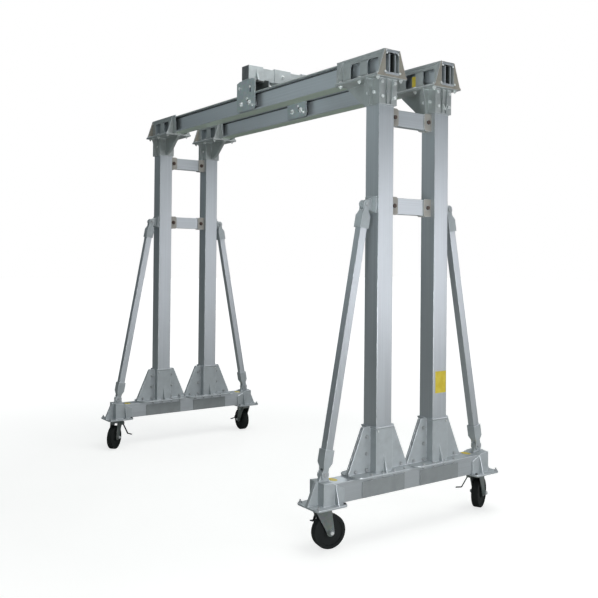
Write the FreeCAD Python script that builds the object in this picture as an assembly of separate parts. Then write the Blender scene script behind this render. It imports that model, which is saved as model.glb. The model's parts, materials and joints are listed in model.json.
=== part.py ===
import FreeCAD, Part
import math
import os

from FreeCAD import Vector

# A mobile aluminium gantry crane: two side frames on swivel casters carry two parallel beams,
# and a trolley runs along both beams.  Millimetres.  X runs along the beams, Y across them, +Z up.
# The origin is on the ground, midway between the four posts.  "right" is +X, "rear" is +Y.

# ---- driving dimensions: the whole crane ----
POST_SPAN = 3000.0        # between the post centres of the two side frames
BEAM_GAUGE = 470.0        # between the two beams, and between the two posts of a side frame
BEAM_UNDERSIDE = 2775.0   # height of the beams' underside
AXLE_BASE = 1310.0        # between the two swivel axes of a side frame
FIT = 0.2                 # gap all round between a tube and the socket that holds it
SEAT = 0.3                # gap between a moving piece and what it runs on
PIN_FIT = 0.05            # radial gap of a pin in its hole

# ---- beams ----
BEAM_HEIGHT = 145.0
BEAM_WIDTH = 104.0
TOP_FLANGE = 15.0
BOTTOM_FLANGE = 12.0
FLANGE_CROWN = 7.0        # how far the top flange rises from its edges to its middle
WEB = 9.0
WEB_SLOT = 36.0           # hollow between the two webs
BEAM_OVERHANG = 110.0     # from the post centre to the beam's end

# ---- posts ----
POST = 120.0
POST_WALL = 5.0
POST_INTO_HEAD = 12.0     # from the beam seat's lower face down to the post's top

# ---- head brackets ----
HEAD_BASE_WIDTH = 240.0
HEAD_BASE = 18.0
HEAD_BASE_BEVEL = (8.0, 6.0)   # across and down, along the base plate's upper side edges
HEAD_END_WIDTH = 222.0    # across an end plate's foot
HEAD_TOP_WIDTH = 122.0    # the same, at its top
HEAD_WALL = 6.0
HEAD_LIP = 14.0           # height of the lip along the top of a side wall
HEAD_REACH = 303.0        # from the post centre to the bracket's inner end
HEAD_TOE = 366.0          # the same, to the toe of the side walls
HEAD_TOE_SLOPE = 12.0     # how far the toe leans back at its top
HEAD_TOE_DROP = 8.0       # from the beam's underside down to the toe's lower corner
HEAD_END_PLATE = 12.0
HEAD_ABOVE_BEAM_TOP = 5.0
WINDOWS = ((-217.0, -126.0), (-54.0, 49.0))
WINDOW_LOW = 20.0         # from the beam's underside to the window's sill
WINDOW_HIGH = 111.0
WINDOW_CORNER = 14.0
COLLAR = 6.0              # wall of a base bracket round a post
HEAD_COLLAR = 10.0        # the same, of a head bracket
HEAD_COLLAR_OUTER = 14.0  # the same, on its outer side
COLLAR_DEPTH = 158.0
COLLAR_POCKET = (37.0, 25.0)   # half widths at the top and foot of the hollow in the collar's outer face
COLLAR_POCKET_DEPTH = 10.0
COLLAR_POCKET_FOOT = 7.0  # from the collar's lower edge up to the hollow
HEAD_FIN = 16.0
HEAD_FIN_EDGE = ((103.0, 42.0), (94.0, 100.0))   # points down a side fin: out from the centre, and down
HEAD_FIN_FOOT = 90.0      # how far out a side fin reaches at the collar's lower edge
HEAD_GUSSET = 24.0
GUSSET_KNEE = (167.0, 119.0)   # out from the post centre, and down from the bracket's underside
GUSSET_FOOT_DROP = 157.0
GUSSET_TOE = 6.0

# ---- ties between the posts of a side frame ----
TIE_HEIGHT = 100.0
TIE_WIDTH = 50.0
TIE_WALL = 4.0
TIE_BELOW_COLLAR = 3.0    # from the head bracket's collar down to the upper tie's cleats
TIE_SPACING = 543.0       # from the upper tie down to the lower one
TIE_END_GAP = 10.0
CLEAT_PLATE = 8.0
CLEAT_CHEEK = 6.0
CLEAT_REACH = 66.0
CLEAT_MARGIN = 6.0        # how far a cleat stands above and below its tie
CLEAT_CORNER = 18.0

# ---- braces ----
BRACE = 50.0
BRACE_WALL = 3.0
BRACE_TOP_OUT = 115.0     # from the post centre out to the upper pin
BRACE_FOOT_IN = 10.0      # from the swivel axis in to the lower pin
BRACE_FOOT_OVER = 45.0    # from the foot beam's top up to the lower pin
BRACE_EYE_RADIUS = 27.0
BRACE_CHEEK = 10.0        # thickness of each cheek of a brace's fork
BRACE_SLOT_OVER = 8.0     # from the lug's round end to the bottom of the fork's slot
BRACE_NECK = 70.0
BRACE_NECK_HALF = 20.0
BRACE_TAPER = 30.0
BRACE_SLEEVE_WALL = 7.0
BRACE_SLEEVE = 75.0
BRACE_IN_SLEEVE = 60.0
BRACE_PIN_RADIUS = 8.0
LUG = 24.0                # thickness of the single lug between the fork's cheeks
LUG_GAP = 1.0
LUG_RADIUS = 26.0
LUG_BASE = 10.0
LUG_BASE_INSET = 10.0     # from the post's corner in to the lug's base
LUG_BASE_HALF = 50.0
LUG_ROOT_HALF = 42.0

# ---- feet ----
FOOT = 120.0              # side of the foot beam's square
FOOT_WALL = 5.0
FOOT_REACH = 690.0        # from the crane's mid-plane to the end brackets' outer face
SIDE_PLATE = 5.0
SIDE_PLATE_HALF = 168.0
SIDE_PLATE_LOW = 2.0
SIDE_PLATE_HEIGHT = 96.0

# ---- base brackets: two half castings clamped round a post ----
CLAMP_GAP = 4.0
BASE_FLANGE = 12.0
BASE_FLANGE_WIDTH = 196.0
BASE_FLANGE_GAP = 10.0    # between the flanges of a side frame's two brackets
BASE_FLANGE_CORNER = 55.0
BASE_HEIGHT = 285.0
BASE_LIP = 10.0
BASE_LIP_STANDS = 4.0
WING = 12.0
WING_TOP = 240.0
WING_BELOW_TOP = 3.0
WING_HEEL = 14.0          # height of the wings' upright outer edge over the flange
WING_FOOT_GAP = 6.0       # between the wings of a side frame's two brackets
BASE_RIB = 12.0
BASE_RIB_HEIGHT = 112.0

# ---- end brackets ----
END_FLANGE = 12.0
END_FLANGE_WIDTH = 215.0
END_FLANGE_OUT = 107.0    # from the swivel axis to the flange's outer edge
END_FLANGE_IN = 120.0
END_FLANGE_CORNER = 30.0
END_WALL = 8.0
END_PLATE = 12.0
END_TOP = 12.0            # how far the bracket's roof stands over the foot beam
END_CHAMFER = (85.0, 47.0)
END_ROOF = 90.0
END_FIN = 8.0
END_FIN_FROM_AXIS = 50.0
END_FIN_STANDS = 36.0
END_NOSE = 24.0
END_NOSE_STANDS = 72.0    # at its foot
END_NOSE_TOP = 14.0
END_SETBACK = 3.0         # from the flange's inner edge to the cheeks
END_ROOF_DROP = 5.0       # how far the roof falls towards the crane's middle
END_FIN_BELOW_ROOF = 6.0
END_LUG_ROOT_HALF = 40.0
END_LUG_INTO_ROOF = 10.0

# ---- casters ----
WHEEL_RADIUS = 100.0
WHEEL_WIDTH = 48.0
TREAD_ROUND = 5.0
HUB_RADIUS = 30.0
HUB_WIDTH = 56.0
DISH_DEPTH = 5.0
DISH_RADII = (36.0, 80.0)
AXLE_RADIUS = 10.0
TRAIL = 45.0
CASTER_PLATE = 6.0
CASTER_PLATE_SIDE = 120.0
CASTER_PLATE_CORNER = 10.0
RACE_RADIUS = 46.0
RACE = 9.0
KINGPIN_RADIUS = 10.0
KINGPIN_HEAD_RADIUS = 16.0
KINGPIN_HEAD = 6.0
CROWN = 12.0
CROWN_OVER_WHEEL = 20.7
CROWN_SIDE = 104.0
CROWN_CORNER = 16.0
FORK_INSET = 2.0          # how far the fork's pieces run into one another
FORK_LEG = 6.0
FORK_SIDE_GAP = 2.0       # between the hub and each fork leg
FORK_BOSS_RADIUS = 24.0
AXLE_NUT_RADIUS = 16.0
AXLE_NUT = 10.0
# the way each caster trails, in degrees about +Z from +X
HEADINGS = {"right_front": 78.0, "right_rear": 115.0, "left_front": -47.0, "left_rear": 178.0}

# ---- brake levers ----
LEVER_WIDTH = 16.0
LEVER = 6.0
LEVER_PIN_RADIUS = 4.0
LEVER_EYE_RADIUS = 8.0
# the lever's pivot, bend and tip: out from the swivel axis along the wheel's axle, and down
# from the fork crown's underside
LEVER_POINTS = ((62.0, 10.0), (106.0, 92.0), (146.0, 99.0))
EAR = 5.0
EAR_GAP = 1.0
EAR_STANDS = 3.0

# ---- trolley ----
TROLLEY_AT = 38.0         # where the trolley stands along the beams
HANGER_LENGTH = 254.0
HANGER_PLATE = 10.0
HANGER_CLEAR = 5.0        # between a hanger's plate and the beam's flange
HANGER_TOP = 95.0         # height of the hanger's top over the beam
HANGER_LOW = 5.0          # from the beam's underside up to the hanger's lower edge
HANGER_CORNER = 22.0
HANGER_SHOULDER = (42.0, 12.0)   # the slope at a plate's upper corners: along, and down
SADDLE = 12.0
SADDLE_STANDS = 8.0       # how far the saddle stands out on each side of the crossbeam
ROLLER_RADIUS = 50.0
ROLLER_WIDTH = 20.0
ROLLER_EDGE = 2.0
ROLLER_FROM_WEB = 5.0
ROLLER_GAP = 16.0         # between the two rollers that follow one another
ROLLER_AXLE_RADIUS = 12.0
ROLLER_COLLAR_RADIUS = 18.0
CROSSBEAM_LENGTH = 612.0
CROSSBEAM_WIDTH = 100.0
CROSSBEAM_HEIGHT = 107.0
CROSSBEAM_WALL = 10.0
CROSSBEAM_STEP = 9.0      # how far the slimmer stretches sit below the blocks
CROSSBEAM_INSET = 5.0
CENTRE_BLOCK_HALF = 75.0
END_BLOCK = 128.0
BUTTRESS = 14.0
BUTTRESS_STANDS = 30.0
BUTTRESS_BELOW_TOP = 18.0
BUTTRESS_FROM_END = 72.0
HOIST_BORE_RADIUS = 13.0
HOIST_PLATE = 14.0
HOIST_BOSS_RADIUS = 34.0
HOIST_BOSS = 2.0          # how far the boss round the bore stands below the crossbeam

# ---- places that follow from the sizes above ----
CROWN_LOW = 2 * WHEEL_RADIUS + CROWN_OVER_WHEEL
CROWN_TOP = CROWN_LOW + CROWN
RACE_LOW = CROWN_TOP + SEAT
END_UNDERSIDE = RACE_LOW + RACE + CASTER_PLATE
FOOT_LOW = END_UNDERSIDE + END_FLANGE
FOOT_TOP = FOOT_LOW + FOOT
BEAM_TOP = BEAM_UNDERSIDE + BEAM_HEIGHT
HEAD_UNDERSIDE = BEAM_UNDERSIDE - HEAD_BASE
POST_TOP = HEAD_UNDERSIDE - POST_INTO_HEAD
TIE_UPPER = HEAD_UNDERSIDE - COLLAR_DEPTH - TIE_BELOW_COLLAR - CLEAT_MARGIN - TIE_HEIGHT / 2
TIE_LEVELS = {"upper": TIE_UPPER, "lower": TIE_UPPER - TIE_SPACING}
AXIS_FROM_POST = (AXLE_BASE - BEAM_GAUGE) / 2
FOOT_FROM_POST = FOOT_REACH - BEAM_GAUGE / 2
COLLAR_HALF = POST / 2 + FIT + COLLAR
# the brace's two pins: distance from the crane's mid-plane, and height
BRACE_TOP = (BEAM_GAUGE / 2 + BRACE_TOP_OUT, TIE_LEVELS["lower"])
BRACE_FOOT = (AXLE_BASE / 2 - BRACE_FOOT_IN, FOOT_TOP + BRACE_FOOT_OVER)
LEVER_PIVOT, LEVER_BEND, LEVER_TIP = ((out, CROWN_LOW - drop) for out, drop in LEVER_POINTS)
ROLLER_HEIGHT = BEAM_UNDERSIDE + BOTTOM_FLANGE + SEAT + ROLLER_RADIUS
HANGER_ROOF = BEAM_TOP + HANGER_TOP
ROLLER_SPACING = 2 * ROLLER_RADIUS + ROLLER_GAP

SIDES = {"right": 1, "left": -1}
ROWS = {"front": -1, "rear": 1}


# ---- shape helpers ----
def box(x, y, z):
    """A box from three (low, high) pairs."""
    return Part.makeBox(x[1] - x[0], y[1] - y[0], z[1] - z[0], Vector(x[0], y[0], z[0]))


def rod(radius, start, end):
    """A round bar between two points."""
    along = Vector(*end) - Vector(*start)
    return Part.makeCylinder(radius, along.Length, Vector(*start), along)


def prism(points, move):
    """A flat outline of 3-D points, pulled along move."""
    outline = Part.makePolygon([Vector(*p) for p in points] + [Vector(*points[0])])
    return Part.Face(outline).extrude(Vector(*move))


def plate_x(points, low, high):
    """An outline in (y, z), as thick as x runs from low to high."""
    return prism([(low, y, z) for y, z in points], (high - low, 0, 0))


def plate_y(points, low, high):
    """An outline in (x, z), as thick as y runs from low to high."""
    return prism([(x, low, z) for x, z in points], (0, high - low, 0))


def rounded(shape, radius, along):
    """The shape with its edges that run along one axis rounded."""
    axis = Vector(*along)
    edges = [e for e in shape.Edges if isinstance(e.Curve, Part.Line)
             and abs(abs(e.tangentAt(e.FirstParameter).dot(axis)) - 1) < 1e-6]
    return shape.makeFillet(radius, edges)


def joined(first, *others):
    """Several overlapping or touching shapes as one solid."""
    return first.fuse(list(others)).removeSplitter()


def both_ways(shape, axis):
    """A shape and its mirror image across the plane through the origin."""
    return [shape, shape.mirror(Vector(0, 0, 0), Vector(*axis))]


def tube(half_x, half_y, wall, low, high):
    """A square tube that stands on end."""
    outer = box((-half_x, half_x), (-half_y, half_y), (low, high))
    inner = box((wall - half_x, half_x - wall), (wall - half_y, half_y - wall), (low, high))
    return outer.cut(inner)


def level_outline(half_x, half_y, z):
    """The outline of a rectangle at one height."""
    corners = ((-half_x, -half_y), (half_x, -half_y), (half_x, half_y), (-half_x, half_y), (-half_x, -half_y))
    return Part.makePolygon([Vector(x, y, z) for x, y in corners])


def at_post(shape, side, row):
    """A piece drawn about one post, outwards along +X and +Y, set on the post that is asked for."""
    if SIDES[side] < 0:
        shape = shape.mirror(Vector(0, 0, 0), Vector(1, 0, 0))
    if ROWS[row] < 0:
        shape = shape.mirror(Vector(0, 0, 0), Vector(0, 1, 0))
    shape = shape.copy()
    shape.translate(Vector(SIDES[side] * POST_SPAN / 2, ROWS[row] * BEAM_GAUGE / 2, 0))
    return shape


def write(node, shapes):
    """One STEP file for a node of one or more solids."""
    solids = [s for shape in shapes for s in shape.Solids]
    whole = solids[0] if len(solids) == 1 else Part.makeCompound(solids)
    whole.exportStep(f"parts/{node}.step")


# ---- beams ----
def main_beam():
    half = BEAM_WIDTH / 2
    end = POST_SPAN / 2 + BEAM_OVERHANG
    flange_edge = BEAM_TOP - FLANGE_CROWN
    corners = [Vector(-end, half, flange_edge), Vector(-end, half, BEAM_TOP - TOP_FLANGE),
               Vector(-end, -half, BEAM_TOP - TOP_FLANGE), Vector(-end, -half, flange_edge)]
    crown = Part.Arc(corners[3], Vector(-end, 0, BEAM_TOP), corners[0]).toShape()
    top = Part.Face(Part.Wire(Part.makePolygon(corners).Edges + [crown])).extrude(Vector(2 * end, 0, 0))
    bottom = box((-end, end), (-half, half), (BEAM_UNDERSIDE, BEAM_UNDERSIDE + BOTTOM_FLANGE))
    web_range = (WEB_SLOT / 2, WEB_SLOT / 2 + WEB)
    web = box((-end, end), web_range, (BEAM_UNDERSIDE + BOTTOM_FLANGE, BEAM_TOP - TOP_FLANGE))
    return joined(top, bottom, *both_ways(web, (0, 1, 0)))


# ---- head brackets ----
def head_walls(top):
    """The two side walls, each with a toe, a lip along its top and two windows."""
    inner = BEAM_WIDTH / 2 + FIT
    foot = BEAM_UNDERSIDE - HEAD_TOE_DROP
    side = [(-HEAD_TOE, foot), (BEAM_OVERHANG, foot), (BEAM_OVERHANG, top), (HEAD_TOE_SLOPE - HEAD_TOE, top)]
    wall = plate_y(side, inner, inner + HEAD_WALL)
    lip = box((HEAD_TOE_SLOPE - HEAD_TOE, BEAM_OVERHANG), (inner, HEAD_TOP_WIDTH / 2), (top - HEAD_LIP, top))
    wall = joined(wall, lip)
    for low, high in WINDOWS:
        sill = BEAM_UNDERSIDE + WINDOW_LOW
        lintel = BEAM_UNDERSIDE + WINDOW_HIGH
        opening = box((low, high), (0, HEAD_BASE_WIDTH), (sill, lintel))
        wall = wall.cut(rounded(opening, WINDOW_CORNER, (0, 1, 0)))
    return both_ways(wall, (0, 1, 0))


def head_collar(low):
    """The square collar round the post, with a ribbed hollow in its outer face."""
    half = POST / 2 + FIT + HEAD_COLLAR
    face = POST / 2 + FIT + HEAD_COLLAR_OUTER
    collar = box((-half, face), (-half, half), (low, HEAD_UNDERSIDE))
    top_half, foot_half = COLLAR_POCKET
    foot = low + COLLAR_POCKET_FOOT
    hollow = plate_x([(-foot_half, foot), (foot_half, foot),
                      (top_half, HEAD_UNDERSIDE), (-top_half, HEAD_UNDERSIDE)],
                     face - COLLAR_POCKET_DEPTH, face)
    rib = box((face - COLLAR_POCKET_DEPTH, face), (-HEAD_FIN / 2, HEAD_FIN / 2), (foot, HEAD_UNDERSIDE))
    return collar.cut(hollow.cut(rib))


def head_bracket():
    top = BEAM_TOP + HEAD_ABOVE_BEAM_TOP
    edge = HEAD_BASE_WIDTH / 2
    bevel_across, bevel_down = HEAD_BASE_BEVEL
    base = plate_x([(-edge, HEAD_UNDERSIDE), (edge, HEAD_UNDERSIDE), (edge, BEAM_UNDERSIDE - bevel_down),
                    (edge - bevel_across, BEAM_UNDERSIDE), (bevel_across - edge, BEAM_UNDERSIDE),
                    (-edge, BEAM_UNDERSIDE - bevel_down)], -HEAD_REACH, BEAM_OVERHANG)
    ends = []
    foot, crown = HEAD_END_WIDTH / 2, HEAD_TOP_WIDTH / 2
    for near in (BEAM_OVERHANG - HEAD_END_PLATE, -HEAD_REACH):
        ends.append(plate_x([(-foot, BEAM_UNDERSIDE), (foot, BEAM_UNDERSIDE), (crown, top), (-crown, top)],
                            near, near + HEAD_END_PLATE))
    beam_hole = box((-HEAD_TOE, BEAM_OVERHANG), (-BEAM_WIDTH / 2 - FIT, BEAM_WIDTH / 2 + FIT),
                    (BEAM_UNDERSIDE, BEAM_TOP + FIT))
    collar_low = HEAD_UNDERSIDE - COLLAR_DEPTH
    socket = box((-POST / 2 - FIT, POST / 2 + FIT), (-POST / 2 - FIT, POST / 2 + FIT), (collar_low, POST_TOP))
    side_fin = [(POST / 2, collar_low), (POST / 2, HEAD_UNDERSIDE), (edge, HEAD_UNDERSIDE)]
    side_fin += [(out, HEAD_UNDERSIDE - down) for out, down in HEAD_FIN_EDGE]
    side_fin.append((HEAD_FIN_FOOT, collar_low))
    fins = both_ways(plate_x(side_fin, -HEAD_FIN / 2, HEAD_FIN / 2), (0, 1, 0))
    knee = (-GUSSET_KNEE[0], HEAD_UNDERSIDE - GUSSET_KNEE[1])
    gusset = plate_y([(-POST / 2, HEAD_UNDERSIDE), (-HEAD_REACH, HEAD_UNDERSIDE),
                      (-HEAD_REACH, HEAD_UNDERSIDE - GUSSET_TOE), knee,
                      (-POST / 2, HEAD_UNDERSIDE - GUSSET_FOOT_DROP)],
                     -HEAD_GUSSET / 2, HEAD_GUSSET / 2)
    whole = joined(base, head_collar(collar_low), gusset, *ends, *head_walls(top), *fins)
    return whole.cut([beam_hole, socket])


# ---- posts and ties ----
def post():
    return tube(POST / 2, POST / 2, POST_WALL, FOOT_TOP, POST_TOP)


def tie_half_length():
    return BEAM_GAUGE / 2 - POST / 2 - CLEAT_PLATE - TIE_END_GAP


def tie(side, level):
    middle = TIE_LEVELS[level]
    half = tie_half_length()
    outer = box((-TIE_WIDTH / 2, TIE_WIDTH / 2), (-half, half),
                (middle - TIE_HEIGHT / 2, middle + TIE_HEIGHT / 2))
    inner_half = TIE_WIDTH / 2 - TIE_WALL
    inner = box((-inner_half, inner_half), (-half, half),
                (middle - TIE_HEIGHT / 2 + TIE_WALL, middle + TIE_HEIGHT / 2 - TIE_WALL))
    shape = outer.cut(inner)
    shape.translate(Vector(SIDES[side] * POST_SPAN / 2, 0, 0))
    return shape


def cleat(middle):
    """The cleat on the rear post, drawn in the side frame's mid-plane."""
    face = BEAM_GAUGE / 2 - POST / 2
    half_height = TIE_HEIGHT / 2 + CLEAT_MARGIN
    outer = TIE_WIDTH / 2 + FIT + CLEAT_CHEEK
    back = box((-outer, outer), (face - CLEAT_PLATE, face), (middle - half_height, middle + half_height))
    free_end = face - CLEAT_REACH
    cheek = box((TIE_WIDTH / 2 + FIT, outer), (free_end, face - CLEAT_PLATE),
                (middle - half_height, middle + half_height))
    free_edges = [e for e in cheek.Edges
                  if abs(e.CenterOfMass.y - free_end) < 1e-6 and e.Length < 2 * CLEAT_CHEEK]
    cheek = cheek.makeFillet(CLEAT_CORNER, free_edges)
    return joined(back, *both_ways(cheek, (1, 0, 0)))


def cleats(side):
    pieces = []
    for middle in TIE_LEVELS.values():
        pieces += both_ways(cleat(middle), (0, 1, 0))
    for piece in pieces:
        piece.translate(Vector(SIDES[side] * POST_SPAN / 2, 0, 0))
    return pieces


# ---- braces: drawn upright from the lower pin, then leaned onto the post ----
def brace_length():
    return math.hypot(BRACE_FOOT[0] - BRACE_TOP[0], BRACE_TOP[1] - BRACE_FOOT[1])


def lean(shape, side, row):
    angle = math.degrees(math.atan2(BRACE_FOOT[0] - BRACE_TOP[0], BRACE_TOP[1] - BRACE_FOOT[1]))
    shape = shape.copy()
    shape.rotate(Vector(0, 0, 0), Vector(1, 0, 0), angle)
    shape.translate(Vector(0, BRACE_FOOT[0] - BEAM_GAUGE / 2, BRACE_FOOT[1]))
    return at_post(shape, side, row)


def brace_tube():
    start = BRACE_NECK + BRACE_SLEEVE - BRACE_IN_SLEEVE
    return tube(BRACE / 2, BRACE / 2, BRACE_WALL, start, brace_length() - start)


def fork_half():
    """Half the width of a brace's fork."""
    return LUG / 2 + LUG_GAP + BRACE_CHEEK


def brace_end():
    """The lower end fitting: a fork, a tapered neck and a sleeve round the tube."""
    sleeve = BRACE / 2 + FIT + BRACE_SLEEVE_WALL
    half = fork_half()
    eye = rod(BRACE_EYE_RADIUS, (-half, 0, 0), (half, 0, 0))
    neck = box((-half, half), (-BRACE_NECK_HALF, BRACE_NECK_HALF), (0, BRACE_NECK - BRACE_TAPER))
    slot = box((BRACE_CHEEK - half, half - BRACE_CHEEK), (-sleeve, sleeve),
               (-sleeve, LUG_RADIUS + BRACE_SLOT_OVER))
    low = level_outline(half, BRACE_NECK_HALF, BRACE_NECK - BRACE_TAPER)
    high = level_outline(sleeve, sleeve, BRACE_NECK)
    taper = Part.makeLoft([low, high], True, True)
    body = box((-sleeve, sleeve), (-sleeve, sleeve), (BRACE_NECK, BRACE_NECK + BRACE_SLEEVE))
    hole = BRACE / 2 + FIT
    seat = BRACE_NECK + BRACE_SLEEVE - BRACE_IN_SLEEVE
    socket = box((-hole, hole), (-hole, hole), (seat, BRACE_NECK + BRACE_SLEEVE))
    pin_hole = rod(BRACE_PIN_RADIUS + PIN_FIT, (-sleeve, 0, 0), (sleeve, 0, 0))
    return joined(eye, neck, taper, body).cut([socket, slot, pin_hole])


def upper_brace_end():
    shape = brace_end().copy()
    shape.rotate(Vector(0, 0, 0), Vector(1, 0, 0), 180)
    shape.translate(Vector(0, 0, brace_length()))
    return shape


def lug_and_pin(outline, eye):
    """A lug plate drawn in (y, z), its round end, and the pin that passes through it and the fork."""
    plate = plate_x(outline, -LUG / 2, LUG / 2)
    end = rod(LUG_RADIUS, (-LUG / 2, *eye), (LUG / 2, *eye))
    pin = rod(BRACE_PIN_RADIUS, (-fork_half(), *eye), (fork_half(), *eye))
    return [plate, end, pin]


def post_lug():
    """The lug on the post's outer face, with its pin."""
    out = BRACE_TOP[0] - BEAM_GAUGE / 2
    middle = BRACE_TOP[1]
    base_half = POST / 2 - LUG_BASE_INSET
    back = box((-base_half, base_half), (POST / 2, POST / 2 + LUG_BASE),
               (middle - LUG_BASE_HALF, middle + LUG_BASE_HALF))
    outline = [(POST / 2, middle - LUG_ROOT_HALF), (out, middle - LUG_RADIUS), (out, middle + LUG_RADIUS),
               (POST / 2, middle + LUG_ROOT_HALF)]
    return joined(back, *lug_and_pin(outline, (out, middle)))


# ---- base brackets ----
def base_half():
    """One half casting, outwards along +X from the clamping plane."""
    near = CLAMP_GAP / 2
    top = FOOT_TOP + BASE_HEIGHT
    collar = box((near, COLLAR_HALF), (-COLLAR_HALF, COLLAR_HALF), (FOOT_TOP, top))
    lip_half = COLLAR_HALF + BASE_LIP_STANDS
    lip = box((near, lip_half), (-lip_half, lip_half), (top - BASE_LIP, top))
    wing_foot = (BEAM_GAUGE - WING_FOOT_GAP) / 2
    heel = FOOT_TOP + BASE_FLANGE + WING_HEEL
    wing_high = top - WING_BELOW_TOP
    wing = plate_x([(-wing_foot, FOOT_TOP), (wing_foot, FOOT_TOP), (wing_foot, heel),
                    (WING_TOP / 2, wing_high), (-WING_TOP / 2, wing_high), (-wing_foot, heel)],
                   near, near + WING)
    half_length = (BEAM_GAUGE - BASE_FLANGE_GAP) / 2
    flange = box((-BASE_FLANGE_WIDTH / 2, BASE_FLANGE_WIDTH / 2), (-half_length, half_length),
                 (FOOT_TOP, FOOT_TOP + BASE_FLANGE))
    flange = rounded(flange, BASE_FLANGE_CORNER, (0, 0, 1))
    flange = flange.common(box((near, BASE_FLANGE_WIDTH), (-half_length, half_length),
                               (FOOT_TOP, FOOT_TOP + BASE_FLANGE)))
    rib = plate_y([(COLLAR_HALF, FOOT_TOP + BASE_FLANGE), (BASE_FLANGE_WIDTH / 2, FOOT_TOP + BASE_FLANGE),
                   (COLLAR_HALF, FOOT_TOP + BASE_FLANGE + BASE_RIB_HEIGHT)], -BASE_RIB / 2, BASE_RIB / 2)
    hole = POST / 2 + FIT
    socket = box((0, hole), (-hole, hole), (FOOT_TOP, top))
    return joined(collar, lip, wing, flange, rib).cut(socket)


# ---- feet ----
def foot_beam(side):
    half = FOOT / 2
    end = FOOT_REACH - END_PLATE - FIT
    outer = box((-half, half), (-end, end), (FOOT_LOW, FOOT_TOP))
    inner = box((FOOT_WALL - half, half - FOOT_WALL), (-end, end),
                (FOOT_LOW + FOOT_WALL, FOOT_TOP - FOOT_WALL))
    shape = outer.cut(inner)
    shape.translate(Vector(SIDES[side] * POST_SPAN / 2, 0, 0))
    return shape


def side_plates():
    low = FOOT_LOW + SIDE_PLATE_LOW
    one = box((FOOT / 2, FOOT / 2 + SIDE_PLATE), (-SIDE_PLATE_HALF, SIDE_PLATE_HALF),
              (low, low + SIDE_PLATE_HEIGHT))
    return both_ways(one, (1, 0, 0))


def end_bracket():
    """The casting on a foot beam's end: a socket on a flange, with fins and the brace's lower lugs."""
    end = FOOT_FROM_POST
    axis = AXIS_FROM_POST
    inner = axis - END_FLANGE_IN
    half = FOOT / 2 + FIT + END_WALL
    roof = FOOT_TOP + END_TOP
    flange = box((-END_FLANGE_WIDTH / 2, END_FLANGE_WIDTH / 2), (inner, axis + END_FLANGE_OUT),
                 (END_UNDERSIDE, FOOT_LOW))
    flange = rounded(flange, END_FLANGE_CORNER, (0, 0, 1))
    face = inner + END_SETBACK
    cheek = [(face, FOOT_LOW), (face, roof - END_CHAMFER[1]), (face + END_CHAMFER[0], roof - END_ROOF_DROP),
             (end, roof), (end, FOOT_LOW)]
    body = plate_x(cheek, -half, half)
    above = box((-half, half), (inner, end - END_ROOF), (FOOT_TOP, roof))
    hole = FOOT / 2 + FIT
    socket = box((-hole, hole), (inner, end - END_PLATE), (FOOT_LOW, FOOT_TOP + FIT))
    fin_at = axis - END_FIN_FROM_AXIS
    fin = plate_y([(half, FOOT_LOW), (half + END_FIN_STANDS, FOOT_LOW), (half, roof - END_FIN_BELOW_ROOF)],
                  fin_at - END_FIN / 2, fin_at + END_FIN / 2)
    nose = plate_x([(end, FOOT_LOW), (end + END_NOSE_STANDS, FOOT_LOW), (end + END_NOSE_TOP, roof),
                    (end, roof)], -END_NOSE / 2, END_NOSE / 2)
    eye = (BRACE_FOOT[0] - BEAM_GAUGE / 2, BRACE_FOOT[1])
    root = roof - END_LUG_INTO_ROOF
    lug = [(eye[0] - END_LUG_ROOT_HALF, root), (eye[0] - LUG_RADIUS, eye[1]),
           (eye[0] + LUG_RADIUS, eye[1]), (eye[0] + END_LUG_ROOT_HALF, root)]
    shell = joined(flange, body).cut([above, socket])
    return joined(shell, nose, *both_ways(fin, (1, 0, 0)), *lug_and_pin(lug, eye))


# ---- casters: drawn about the swivel axis, trailing along +X ----
def caster_mount():
    """The plate, the swivel race and the kingpin, bolted under an end bracket."""
    half = CASTER_PLATE_SIDE / 2
    plate = box((-half, half), (-half, half), (END_UNDERSIDE - CASTER_PLATE, END_UNDERSIDE))
    race = rod(RACE_RADIUS, (0, 0, RACE_LOW), (0, 0, END_UNDERSIDE - CASTER_PLATE))
    head_top = CROWN_LOW - SEAT
    kingpin = rod(KINGPIN_RADIUS, (0, 0, head_top), (0, 0, RACE_LOW))
    head = rod(KINGPIN_HEAD_RADIUS, (0, 0, head_top - KINGPIN_HEAD), (0, 0, head_top))
    return joined(rounded(plate, CASTER_PLATE_CORNER, (0, 0, 1)), race, kingpin, head)


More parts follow.
